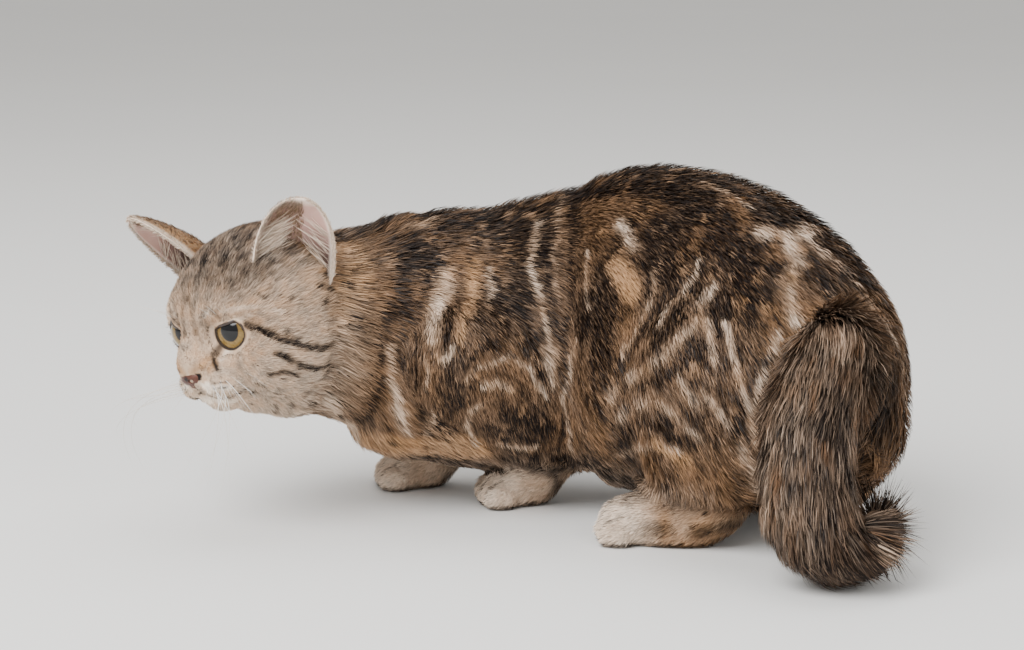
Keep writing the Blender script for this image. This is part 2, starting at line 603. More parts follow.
def normals_of(points, triangles):
    """Smooth normals at the corners."""
    a, b, c = (points[triangles[:, k]] for k in range(3))
    flat = np.cross(b - a, c - a)
    total = np.zeros_like(points)
    for k in range(3):
        for axis in range(3):
            total[:, axis] += np.bincount(triangles[:, k], flat[:, axis], len(points))
    return unit(total)


def edges_of(triangles):
    """Each edge once."""
    pairs = np.vstack((triangles[:, (0, 1)], triangles[:, (1, 2)], triangles[:, (2, 0)]))
    pairs.sort(axis=1)
    return np.unique(pairs, axis=0)


def smoothed(values, edges, rounds, share=0.5):
    """The values with each drawn towards its neighbours' mean, several times."""
    count = len(values)
    flat = values.reshape(count, -1).astype(float)
    degree = np.bincount(edges.ravel(), minlength=count).clip(1)
    share = np.reshape(share, (-1, 1))
    for _ in range(rounds):
        mean = np.empty_like(flat)
        for k in range(flat.shape[1]):
            mean[:, k] = np.bincount(edges[:, 0], flat[edges[:, 1], k], count)
            mean[:, k] += np.bincount(edges[:, 1], flat[edges[:, 0], k], count)
        flat += share * (mean / degree[:, None] - flat)
    return flat.reshape(values.shape)


def largest_shell(points, triangles):
    """Only the shell with the most corners."""
    label = np.arange(len(points))
    edges = edges_of(triangles)
    while True:
        low = np.minimum(label[edges[:, 0]], label[edges[:, 1]])
        new = label.copy()
        np.minimum.at(new, edges[:, 0], low)
        np.minimum.at(new, edges[:, 1], low)
        new = new[new]
        if (new == label).all():
            break
        label = new
    keep = label == np.bincount(label).argmax()
    renumbered = np.cumsum(keep) - 1
    return points[keep], renumbered[triangles[keep[triangles[:, 0]]]]


def split_finer(points, triangles, chosen):
    """Splits the chosen triangles in four, and their neighbours to fit."""
    edges = np.sort(np.vstack((triangles[:, (0, 1)], triangles[:, (1, 2)], triangles[:, (2, 0)])), axis=1)
    keys = edges[:, 0].astype(np.int64) * len(points) + edges[:, 1]
    wanted = np.unique(keys[np.tile(chosen, 3)])
    middles = (points[wanted // len(points)] + points[wanted % len(points)]) / 2
    spot = np.searchsorted(wanted, keys)
    spot[spot == len(wanted)] = 0
    index = np.where(wanted[spot] == keys, len(points) + spot, -1).reshape(3, -1).T
    pieces = []
    cut = (index >= 0).astype(int) @ (1, 2, 4)
    a, b, c = triangles.T
    p, q, r = index.T
    table = {
        0: ((a, b, c),), 1: ((a, p, c), (p, b, c)), 2: ((a, b, q), (a, q, c)), 4: ((a, b, r), (r, b, c)),
        3: ((a, p, c), (p, q, c), (p, b, q)), 6: ((a, b, q), (a, q, r), (r, q, c)),
        5: ((a, p, r), (p, b, r), (r, b, c)), 7: ((a, p, r), (p, b, q), (r, q, c), (p, q, r)),
    }
    for case, parts in table.items():
        here = cut == case
        pieces += [np.stack([k[here] for k in part], axis=1) for part in parts]
    return np.vstack((points, middles)), np.vstack(pieces)


def tube(line, radii, around=16):
    """Corners and triangles of a closed round tube along a line."""
    ways = unit(np.gradient(line, axis=0))
    side = unit(np.cross((0.0, 0.0, 1.0), ways[0]))
    rings = []
    turn = np.linspace(0, 2 * math.pi, around, endpoint=False)[:, None]
    for place, way, radius in zip(line, ways, radii):
        side = unit(side - way * side.dot(way))
        rings.append(place + radius * (np.cos(turn) * side + np.sin(turn) * np.cross(way, side)))
    points = np.vstack(rings + [line[:1], line[-1:]])
    first = np.arange(around)
    after = (first + 1) % around
    faces = []
    for ring in range(len(line) - 1):
        low, high = ring * around, (ring + 1) * around
        faces.append(np.stack((low + first, low + after, high + after), axis=1))
        faces.append(np.stack((low + first, high + after, high + first), axis=1))
    end = (len(line) - 1) * around
    faces.append(np.stack((after, first, np.full(around, len(points) - 2)), axis=1))
    faces.append(np.stack((end + first, end + after, np.full(around, len(points) - 1)), axis=1))
    return points, np.vstack(faces)


def globe(axis, up, radius, rings=24, around=40):
    """Corners about a middle at 0 and triangles of a ball, with its pole along the axis."""
    axis = unit(np.asarray(axis, float))
    side = unit(np.cross(up, axis))
    lift = np.cross(axis, side)
    polar = np.linspace(0, math.pi, rings + 1)[1:-1, None]
    turn = np.linspace(0, 2 * math.pi, around, endpoint=False)[None]
    out = np.sin(polar)
    flat = np.stack([out * np.cos(turn), out * np.sin(turn), np.cos(polar) + 0 * turn], axis=2)
    local = np.vstack((((0, 0, 1),), flat.reshape(-1, 3), ((0, 0, -1),)))
    first = np.arange(around)
    after = (first + 1) % around
    faces = [np.stack((0 * first, 1 + first, 1 + after), axis=1)]
    for ring in range(rings - 2):
        low, high = 1 + ring * around, 1 + (ring + 1) * around
        faces.append(np.stack((low + first, high + first, high + after), axis=1))
        faces.append(np.stack((low + first, high + after, low + after), axis=1))
    low = 1 + (rings - 2) * around
    faces.append(np.stack((low + first, np.full(around, len(local) - 1), low + after), axis=1))
    return radius * (local @ np.array((side, lift, axis))), np.vstack(faces), local


# The skin under the coat


def gaze_axes(side):
    """Along the lids, across them and the gaze, as rows on the head."""
    gaze = unit(np.array((EYE_GAZE[0], EYE_GAZE[1] * side, EYE_GAZE[2])))
    outward = np.array((0.0, side, 0.0))
    outward = unit(outward - gaze * outward.dot(gaze))
    upward = np.cross(gaze, outward) * side
    slant = math.radians(LID_SLANT[side])
    along = outward * math.cos(slant) + upward * math.sin(slant)
    return np.array((along, upward * math.cos(slant) - outward * math.sin(slant), gaze))


def lid_curve(height):
    """The lids' edge over a circle's: flattened above, round below."""
    return np.where(height > 0, 0.9 * np.minimum(1.0, 1.7 * height), 0.92 * height)


def lid_outline(count=64):
    """The opening between the lids, along them and across them."""
    turn = np.linspace(0, 2 * math.pi, count, endpoint=False)
    return np.stack((np.cos(turn), lid_curve(np.sin(turn))), axis=1) * LID_OPENING


def lid_gap(flat):
    """Distance from the edge of the opening, below zero inside it."""
    x = np.clip(flat[:, 0] / LID_OPENING[0], -1, 1)
    bound = np.abs(lid_curve(np.sqrt(1 - x * x) * np.sign(flat[:, 1])))
    inside = (np.abs(flat[:, 0]) < LID_OPENING[0]) & (np.abs(flat[:, 1]) < bound * LID_OPENING[1])
    outline = lid_outline()
    gap = line_gap(flat, np.vstack((outline, outline[:1])))
    return np.where(inside, -gap, gap)


def set_lids(points):
    """Draws the skin round each eyeball into lids and behind it in the opening."""
    for side in (1, -1):
        axes = gaze_axes(side)
        middle = on_head((EYE_PLACE[0], EYE_PLACE[1] * side, EYE_PLACE[2]))
        local = (points - middle) @ HEAD_AXES.T @ axes.T
        far = np.linalg.norm(local, axis=1)
        near = (local[:, 2] > 0) & (far < EYE_RADIUS + 7)
        gap = lid_gap(local[near, :2])
        lid = EYE_RADIUS + 0.75 + 0.5 * ease(0.2, 2.5, gap)
        blend = ease(1.5, 6.0, gap)
        skin = lid * (1 - blend) + np.maximum(far[near], lid) * blend
        reach = np.where(gap < -0.1, EYE_RADIUS - 2.5, skin)
        local[near] *= (reach / far[near])[:, None]
        points[near] = middle + local[near] @ axes @ HEAD_AXES
    return points


def line_gap(points, line):
    """Distance of points from a line of places."""
    line = np.array(line, float)
    gap = np.full(len(points), 1e3)
    for a, b in zip(line[:-1], line[1:]):
        way = b - a
        share = np.clip((points - a) @ way / (way @ way), 0, 1)
        gap = np.minimum(gap, np.linalg.norm(points - a - share[:, None] * way, axis=1))
    return gap


def flesh_shape(voxel):
    """The solids of flesh run together into one shell, with the tail's core and both sockets filled."""
    parts = []
    for name in FLESH + ("nose",):
        points, triangles = node_arrays(name)
        points = from_frame(points)
        parts.append((points + 0.35 * normals_of(points, triangles), triangles))
    radii = np.interp(np.linspace(0, 1, TAIL_STEPS), np.linspace(0, 1, len(TAIL_CORE)), TAIL_CORE)
    radii[-4:] *= (0.94, 0.82, 0.62, 0.3)
    parts.append(tube(TAIL_POINTS, radii))
    for side in (1, -1):
        points, triangles, _ = globe((1, 0, 0), (0, 0, 1), EYE_RADIUS + 0.6)
        place = (EYE_PLACE[0], EYE_PLACE[1] * side, EYE_PLACE[2])
        parts.append((points + on_head(place), triangles))
    starts = np.cumsum([0] + [len(points) for points, _ in parts[:-1]])
    mesh = new_mesh(
        "flesh", np.vstack([p for p, _ in parts]), [np.vstack([t + s for (_, t), s in zip(parts, starts)])]
    )
    made = bpy.data.objects.new("flesh", mesh)
    bpy.context.scene.collection.objects.link(made)
    remesh = made.modifiers.new("Remesh", "REMESH")
    remesh.mode = "VOXEL"
    remesh.voxel_size = voxel
    return largest_shell(*with_modifiers(made))


def nearest_groups(points):
    """Which solid, or the tail's core, each point is nearest to."""
    tree, owners = solid_tree(FLESH)
    found = [tree.find_nearest(place) for place in points.tolist()]
    group = np.array([owners[hit[2]] for hit in found])
    gap = np.array([hit[3] for hit in found])
    step = on_tail(points)
    off = np.linalg.norm(points - TAIL_POINTS[step], axis=1)
    group[(gap > 1.2) & (off < 15) & (step > 3)] = GROUPS.index("tail")
    return group


def lie_of(points, group):
    """The way the hair lies at each corner, along the skin."""
    _, aside, ahead, _ = on_trunk(points)
    flank = np.clip(np.abs(aside) / 45, 0, 1)[:, None]
    back = np.column_stack((-ahead, np.zeros(len(points))))
    down = np.array((0.0, 0.0, -1.0))
    lie = 0.9 * back + (0.15 + 0.55 * flank) * down
    here = belongs(group, "hind_leg_left", "hind_leg_right")
    lie[here] = 0.55 * back[here] + 0.8 * down
    here = belongs(group, "foreleg_left", "foreleg_right")
    lie[here] = 0.25 * back[here] + down
    here = belongs(group, "neck")
    lie[here] = 0.5 * back[here] - 0.4 * HEAD_AXES[0] + 0.55 * down
    here = belongs(group, "tail")
    lie[here] = TAIL_WAYS[on_tail(points[here])]
    for name, (_, heading, _) in FEET.items():
        here = belongs(group, name)
        turn = math.radians(heading)
        lie[here] = np.array((-math.sin(turn), -math.cos(turn), -0.5))
    here = belongs(group, "head")
    place = in_head(points[here])
    flow = unit(place - np.array((54.0, 0.0, -8.0)))
    flow += (-0.15, 0, -0.1)
    for side in (1, -1):
        out = place - np.array((EYE_PLACE[0] + 8, EYE_PLACE[1] * side, EYE_PLACE[2]))
        far = np.linalg.norm(out, axis=1)[:, None]
        flow += 1.8 * ease(16, 8, far) * out / np.maximum(far, 1)
    lie[here] = flow @ HEAD_AXES
    return lie


def groove_face_and_feet(points, normals, group):
    """How far each corner goes in at the mouth and between the toes."""
    depth = np.zeros(len(points))
    here = group == GROUPS.index("head")
    place = in_head(points[here])
    place[:, 1] = np.abs(place[:, 1])
    depth[here] = 2.0 * np.exp(-((line_gap(place, LIP_LINE) / 1.2) ** 2))
    depth[here] += 0.8 * np.exp(-((line_gap(place, PHILTRUM) / 0.9) ** 2))
    for name, (_, _, length) in FEET.items():
        here = belongs(group, name)
        ahead, across = on_foot(name, points[here])
        cut = sum(np.exp(-(((across - line) / 1.3) ** 2)) for line in TOE_LINES)
        above = ease(-0.5, 0.2, normals[here, 2])
        depth[here] += 1.9 * cut * above * ease(0.26 * length, 0.4 * length, ahead)
    return depth


def coat_sizes(coat, points, group):
    """Depth of the coat over the skin, rise of the tips, length and width of a tuft, in millimetres."""
    sizes = np.empty((len(points), 4))
    table = {
        "head": (1.5, 1.9, coat.head_length * 1000, 0.27),
        "neck": (3.4, 4.2, coat.neck_length * 1000, 0.48),
        "torso": (4.6, 5.2, coat.body_length * 1000, 0.50),
        "hind_leg": (4.6, 5.4, coat.body_length * 1050, 0.50),
        "foreleg": (2.6, 3.2, coat.leg_length * 1000, 0.42),
        "forepaw": (1.2, 1.5, coat.paw_length * 1000, 0.36),
        "hind_foot": (1.3, 1.7, coat.paw_length * 1100, 0.38),
        "tail": (0.0, 11.0, coat.tail_length * 1000, 0.62),
    }
    for index, name in enumerate(GROUPS):
        key = next(part for part in table if name.startswith(part))
        sizes[group == index] = table[key]
    here = group == GROUPS.index("tail")
    sizes[here, 1] *= 1 - 0.4 * ease(46, 60, on_tail(points[here]))
    here = group == GROUPS.index("head")
    far = np.linalg.norm(in_head(points[here]) - NOSE_PLACE, axis=1)
    sizes[here, :3] *= np.clip(far / 55, 0.32, 1.7)[:, None]
    return sizes


# Materials


class Value:
    """A socket that makes Math nodes when it is used in a sum."""

    def __init__(self, finish, socket):
        self.finish = finish
        self.socket = socket

    def math(self, operation, *values):
        """One Math node on these values."""
        return self.finish.node("ShaderNodeMath", {"operation": operation}, dict(enumerate(values)))

    def __add__(self, other):
        return self.math("ADD", self, other)

    def __radd__(self, other):
        return self.math("ADD", other, self)

    def __sub__(self, other):
        return self.math("SUBTRACT", self, other)

    def __rsub__(self, other):
        return self.math("SUBTRACT", other, self)

    def __mul__(self, other):
        return self.math("MULTIPLY", self, other)

    def __rmul__(self, other):
        return self.math("MULTIPLY", other, self)

    def __truediv__(self, other):
        return self.math("DIVIDE", self, other)

    def __rtruediv__(self, other):
        return self.math("DIVIDE", other, self)

    def root(self):
        """The square root."""
        return self.math("SQRT", self)

    def clipped(self):
        """Held between 0 and 1."""
        return self.math("MINIMUM", self.math("MAXIMUM", self, 0.0), 1.0)


class Finish:
    """A material and the nodes that colour it."""

    def __init__(self, name, **constants):
        self.material = bpy.data.materials.new(name)
        self.material.use_nodes = True
        self.tree = self.material.node_tree
        self.shader = self.tree.nodes["Principled BSDF"]
        for key, value in constants.items():
            self.shader.inputs[key.replace("_", " ").title().replace("Ior", "IOR")].default_value = value

    def node(self, kind, settings=None, inputs=None, output=0):
        """A node with its settings and its sockets' values or links, and the output asked for."""
        made = self.tree.nodes.new(kind)
        for key, value in (settings or {}).items():
            setattr(made, key, value)
        for key, value in (inputs or {}).items():
            self.put(made.inputs[key], value)
        return Value(self, made.outputs[output])

    def put(self, socket, value):
        """Links a value to a socket, or sets it there."""
        if isinstance(value, Value):
            self.tree.links.new(value.socket, socket)
        else:
            socket.default_value = value

    def feed(self, key, value):
        """Sends a value to one of the shader's sockets."""
        self.put(self.shader.inputs[key], value)

    def attribute(self, name):
        """A number stored at the corners."""
        return self.node("ShaderNodeAttribute", {"attribute_name": name}, output="Fac")

    def grain(self, scale, detail=2.0, stretch=(1, 1, 1)):
        """Noise over the object, between 0 and 1."""
        place = self.node("ShaderNodeTexCoord", output="Object")
        place = self.node("ShaderNodeVectorMath", {"operation": "MULTIPLY"}, {0: place, 1: stretch})
        return self.node("ShaderNodeTexNoise", None, {"Vector": place, "Scale": scale, "Detail": detail})

    def mixed(self, first, second, share):
        """Two colours mixed."""
        first, second = (c if isinstance(c, Value) else (*c, 1.0) for c in (first, second))
        links = {0: share, 6: first, 7: second}
        return self.node("ShaderNodeMix", {"data_type": "RGBA"}, links, 2)

    def scaled(self, colour, share):
        """A colour made lighter or darker."""
        return self.node("ShaderNodeVectorMath", {"operation": "SCALE"}, {0: colour, 3: share})

    def bump(self, height, distance, strength=1.0):
        """Raises the surface by a height in metres."""
        inputs = {"Height": height, "Distance": distance, "Strength": strength}
        self.feed("Normal", self.node("ShaderNodeBump", None, inputs))


def coat_colour(finish, coat):
    """The tabby colour from the shares stored at the corners."""
    colour = finish.mixed(coat.ground, coat.tan, finish.attribute("tan"))
    colour = finish.mixed(colour, coat.cream, finish.attribute("cream"))
    return finish.mixed(colour, coat.black, finish.attribute("black"))


def tuft_finish(coat):
    """Hair: darker at its root, each tuft a little lighter or darker than the next."""
    if "tabby_hair" in bpy.data.materials:
        return bpy.data.materials["tabby_hair"]
    finish = Finish("tabby_hair", roughness=0.45, specular_ior_level=0.15)
    shade = (0.64 + finish.attribute("along") * 0.50) * (1.0 + finish.attribute("tone") * 0.28)
    finish.feed("Base Color", finish.scaled(coat_colour(finish, coat), shade))
    return finish.material


def skin_finish(coat):
    """The close undercoat, bumped like short hair."""
    finish = Finish("undercoat", roughness=0.8, specular_ior_level=0.2)
    grain = finish.grain(900.0, 3.0, (1, 1, 0.3))
    shade = (0.90 - finish.attribute("deep") * 0.50) * (0.75 + grain * 0.5)
    finish.feed("Base Color", finish.scaled(coat_colour(finish, coat), shade))
    finish.bump(grain, 0.0006, 0.7)
    return finish.material


# Tufts of the coat


def read_skin():
    """The skin's corners, triangles and stored values, in drawing millimetres."""
    mesh = bpy.data.objects["skin"].data
    count = len(mesh.vertices)
    points = np.empty(count * 3)
    mesh.vertices.foreach_get("co", points)
    triangles = np.empty(len(mesh.loops), np.int32)
    mesh.loops.foreach_get("vertex_index", triangles)
    stored = {}
    for key in ("group", "rise", "length", "width", "bend", "lie_x", "lie_y", "lie_z"):
        stored[key] = np.empty(count, np.float32)
        mesh.attributes[key].data.foreach_get("value", stored[key])
    points = from_frame(points.reshape(-1, 3))
    triangles = triangles.reshape(-1, 3)
    return points, triangles, stored


def scattered(points, triangles, chosen, count, draw):
    """Random places on the chosen triangles: which triangle, and its corners' shares."""
    a, b, c = (points[triangles[chosen][:, k]] for k in range(3))
    area = np.linalg.norm(np.cross(b - a, c - a), axis=1)
    run = np.cumsum(area)
    which = np.searchsorted(run, (np.arange(count) + draw.random(count)) / count * run[-1])
    which = np.flatnonzero(chosen)[np.minimum(which, len(area) - 1)]
    u, v = draw.random((2, count))
    over = u + v > 1
    u[over], v[over] = 1 - u[over], 1 - v[over]
    return which, np.stack((1 - u - v, u, v), axis=1)


def clumped(roots, tips, spacing, share, draw):
    """How far each tip leans towards the tip at the middle of its clump."""
    area_each = spacing**2
    span = np.ptp(roots, axis=0)
    count = int(np.clip(span[0] * span[1] + span[1] * span[2] + span[0] * span[2], 1, 1e9) / area_each)
    centres = draw.choice(len(roots), min(count, len(roots) // 4), replace=False)
    tree = KDTree(len(centres))
    for i, place in enumerate(roots[centres].tolist()):
        tree.insert(place, i)
    tree.balance()
    nearest = centres[[tree.find(place)[1] for place in roots.tolist()]]
    pull = share * (0.5 + 0.5 * draw.random(len(roots)))
    return (tips[nearest] - tips) * pull[:, None], nearest


def tuft_mesh(name, roots, lie, normals, sizes, bend, drift, shares, chart, parts, draw):
    """Flat tapered tufts as one mesh. Sizes: rise, length, width. Shares: black, tan, cream, tone."""
    rise, length, width = (sizes[:, k, None] for k in range(3))
    across = unit(np.cross(normals, lie))
    tilt = draw.normal(0, 0.45, len(roots))[:, None]
    side = across * np.cos(tilt) + normals * np.sin(tilt)
    levels = np.linspace(0, 1, parts + 1)
    if parts == 2:
        levels = np.array((0, 0.48, 1.0))
    rows, along, maps = [], [], []
    sign = np.array((-1.0, 1.0))
    for level in levels:
        up = rise * (1 - (1 - level) ** 1.8) - 0.5 * (1 - level) + bend[:, None] * (length * level) ** 2 / 2
        middle = roots + lie * length * level + normals * up + drift * level**1.6
        half = width / 2 * math.sqrt(max(0, 1 - level**2)) * (0.8 + 0.4 * level)
        spread = (0.0,) if level == 1 else sign
        for way in spread:
            rows.append(middle + side * half * way)
            along.append(np.full(len(roots), level))
            maps.append(chart + np.array((0.0015 * way, 0.003 * level)))
    corners = np.stack(rows, axis=1)
    corners[:, :, 2] = np.maximum(corners[:, :, 2], 0.5)
    each = corners.shape[1]
    base = (np.arange(len(roots)) * each)[:, None]
    quads = np.vstack([base + (2 * k, 2 * k + 1, 2 * k + 3, 2 * k + 2) for k in range(parts - 1)])
    last = base + (each - 3, each - 2, each - 1)
    values = {"along": np.stack(along, axis=1).ravel()}
    for key, share in zip(("black", "tan", "cream", "tone"), shares):
        values[key] = np.repeat(share, each)
    faces = [quads, last]
    return new_mesh(name, corners.reshape(-1, 3), faces, values, np.stack(maps, axis=1).reshape(-1, 2))


def chart_of(points, group):
    """Each root's place on an unwrap of the skin, one strip of the map for each group."""
    chart = np.empty((len(points), 2))
    present = np.unique(group)
    for cell, index in enumerate(present):
        here = group == index
        name = GROUPS[index]
        part = points[here]
        if name == "head":
            place = unit(in_head(part) + (12, 0, 0))
            polar = np.arccos(np.clip(place[:, 0], -1, 1))
            flat = unit(place[:, 1:]) * polar[:, None]
        elif name == "tail":
            step = on_tail(part)
            out = part - TAIL_POINTS[step]
            flat = np.stack((np.arctan2(out[:, 1], out[:, 0]) * 12, step * 4.0), axis=1)
        elif name in FEET or "fore" in name:
            middle = part.mean(0)
            out = part - middle
            flat = np.stack((np.arctan2(out[:, 1], out[:, 0]) * 18, part[:, 2]), axis=1)
        else:
            along, aside, _, _ = on_trunk(part)
            flat = np.stack((along, np.arctan2(aside, part[:, 2] - TRUNK_MIDDLE) * 60), axis=1)
        low, high = flat.min(0), flat.max(0)
        flat = 0.01 + 0.975 * (flat - low) / np.maximum(high - low, 1e-6)
        chart[here] = flat * (1 / len(present), 1) + (cell / len(present), 0)
    return chart


class CoatMaker:
    """What the operators of the coat share: one mesh of tufts over some of the skin's groups."""

    piece = "coat"
    slot = "body_coat"
    groups = ()
    count = 1000
    parts = 3
    clump = (6.0, 0.4)
    side = 0
    trunk_range = None

    def chosen(self, points, triangles, group):
        """Which of the skin's triangles carry this piece."""
        here = belongs(group[triangles[:, 0]], *self.groups)
        if self.side or self.trunk_range:
            along, aside, _, _ = on_trunk(points[triangles[:, 0]])
            if self.side:
                here &= aside * self.side >= 0
            if self.trunk_range:
                here &= (along >= self.trunk_range[0]) & (along < self.trunk_range[1])
        return here

    def kept(self, roots, tips, group):
        """Which tufts stay: none in the eyes, on the nose or in the mouth."""
        keep = np.ones(len(roots), bool)
        here = group == GROUPS.index("head")
        for ends in (roots, tips):
            place = in_head(ends[here])
            for side in (1, -1):
                axes = gaze_axes(side)
                local = (place - (EYE_PLACE[0], EYE_PLACE[1] * side, EYE_PLACE[2])) @ axes.T
                gap = lid_gap(local[:, :2])
                keep[here] &= ~((local[:, 2] > 0) & (gap < (0.5 if ends is roots else 0.1)))
        place = in_head(roots[here])
        place[:, 1] = np.abs(place[:, 1])
        keep[here] &= np.linalg.norm((place - NOSE_PLACE) / (5.2, 5.6, 5.2), axis=1) > 1
        keep[here] &= (line_gap(place, LIP_LINE) > 1.1) & (line_gap(place, PHILTRUM) > 0.7)
        return keep

    def execute(self, context):
        """Scatters the tufts and adds the mesh."""
        draw = np.random.default_rng(SEED + len(self.piece) * 7 + len(self.groups))
        points, triangles, stored = read_skin()
        group = stored["group"].astype(int)
        chosen = self.chosen(points, triangles, group)
        if not chosen.any():
            raise RuntimeError(f"no skin found for {self.piece}")
        which, shares = scattered(points, triangles, chosen, self.count, draw)
        corners = triangles[which]

        def at(values):
            return (values[corners] * (shares if values.ndim == 1 else shares[:, :, None])).sum(1)

        roots, normals = at(points), unit(at(normals_of(points, triangles)))
        lie = at(np.stack([stored[key] for key in ("lie_x", "lie_y", "lie_z")], axis=1))
        own = group[corners[:, 0]]
        lie += np.cross(normals, lie) * draw.normal(0, 0.16, len(roots))[:, None]
        lie = unit(lie - normals * dot(lie, normals)[:, None])
        sizes = np.stack([at(stored[key]) for key in ("rise", "length", "width")], axis=1)
        rise = sizes[:, 0].copy()
        sizes[:, 0] *= draw.uniform(0.7, 1.25, len(roots))
        sizes[:, 1] *= draw.uniform(0.7, 1.2, len(roots))
        bend = at(stored["bend"])
        tips = roots + lie * sizes[:, 1:2]
        drift, nearest = clumped(roots, tips, *self.clump, draw)
        drift -= normals * dot(drift, normals)[:, None] * 0.7
        keep = self.kept(roots, tips + drift, own)
        seen = roots + normals * (0.85 * rise)[:, None] + (lie * sizes[:, 1:2] + drift) * 0.55
        black, tan, cream = markings(seen, own, normals)
        clump_tone = draw.normal(0, 0.45, len(roots))[nearest]
        tone = np.clip(0.6 * draw.normal(0, 0.55, len(roots)) + 0.7 * clump_tone, -1.6, 1.6)
        lock = draw.random(len(roots))[nearest]
        black = np.where((lock > 0.95) & (black > 0.5), 0.4 * black, black)
        black = np.where((lock < 0.09) & (black > 0.12) & (black < 0.5), 0.8, black)
        black = np.clip(black + 0.17 * draw.normal(0, 1, len(roots)) * (black > 0.12), 0, 1)
        coat = context.scene.cat_coat
        mesh = tuft_mesh(
            self.piece, roots[keep], lie[keep], normals[keep], sizes[keep], bend[keep], drift[keep],
            [part[keep] for part in (black, tan, cream, tone)], chart_of(roots, own)[keep], self.parts, draw,
        )
        place_piece(self.piece, mesh, tuft_finish(coat))
        return {"FINISHED"}


# Settings


class CatCoatSettings(bpy.types.PropertyGroup):
    """Sizes and colours of the coat."""

    head_length: FloatProperty(
        name="Head hair", description="Hair length on the cheeks", default=0.0044, unit="LENGTH"
    )
    neck_length: FloatProperty(
        name="Neck hair", description="Hair length on the neck", default=0.013, unit="LENGTH"
    )
    body_length: FloatProperty(
        name="Body hair", description="Hair length on the body", default=0.0125, unit="LENGTH"
    )
    leg_length: FloatProperty(
        name="Leg hair", description="Hair length on the forelegs", default=0.008, unit="LENGTH"
    )
    paw_length: FloatProperty(
        name="Paw hair", description="Hair length on the feet", default=0.0036, unit="LENGTH"
    )
    tail_length: FloatProperty(
        name="Tail hair", description="Hair length on the tail", default=0.027, unit="LENGTH"
    )
    skin_step: FloatProperty(
        name="Skin step", description="Size of the skin's faces", default=0.0018, unit="LENGTH"
    )
    ground: FloatVectorProperty(
        name="Ground",
        description="Grey-brown between the stripes",
        default=(0.21, 0.115, 0.062),
        subtype="COLOR",
    )
    tan: FloatVectorProperty(
        name="Tan", description="Warm tan of the patches", default=(0.52, 0.29, 0.135), subtype="COLOR"
    )
    cream: FloatVectorProperty(
        name="Cream",
        description="Pale hair of muzzle, chest and paws",
        default=(0.92, 0.79, 0.66),
        subtype="COLOR",
    )
    black: FloatVectorProperty(
        name="Black",
        description="Brown-black of the stripes",
        default=(0.007, 0.0035, 0.0025),
        subtype="COLOR",
    )


class CatFaceSettings(bpy.types.PropertyGroup):
    """Colours of the bare parts."""

    iris: FloatVectorProperty(
        name="Iris", description="Outer colour of the iris", default=(0.33, 0.21, 0.06), subtype="COLOR"
    )
    iris_inner: FloatVectorProperty(
        name="Inner iris",
        description="Colour of the iris near the pupil",
        default=(0.26, 0.13, 0.035),
        subtype="COLOR",
    )
    nose: FloatVectorProperty(
        name="Nose",
        description="Brown of the nose leather",
        default=(0.11, 0.038, 0.024),
        subtype="COLOR",
    )
    ear_inside: FloatVectorProperty(
        name="Inner ear",
        description="Pink skin inside the ears",
        default=(0.50, 0.31, 0.26),
        subtype="COLOR",
    )
    whisker_share: FloatProperty(
        name="Whiskers", description="Length of the whiskers over the photo's", default=1.0
    )


class CatStageSettings(bpy.types.PropertyGroup):
    """Floor, lights and camera."""

    floor: FloatVectorProperty(
        name="Floor", description="Colour of the floor", default=(0.80, 0.79, 0.77), subtype="COLOR"
    )
    key_power: FloatProperty(
        name="Key light", description="Power of the large soft light", default=46.0, unit="POWER"
    )
    fill_power: FloatProperty(
        name="Fill light", description="Power of each weaker light", default=9.0, unit="POWER"
    )
    surround: FloatProperty(name="Surround", description="Brightness of the pale room", default=0.88)
    camera_distance: FloatProperty(
        name="Camera distance",
        description="Distance to the middle of the cat",
        default=CAMERA_DISTANCE / 1000,
        unit="LENGTH",
    )
    camera_elevation: FloatProperty(
        name="Camera elevation",
        description="Angle of the camera above the floor",
        default=CAMERA_RISE,
        unit="ROTATION",
    )


# Operators


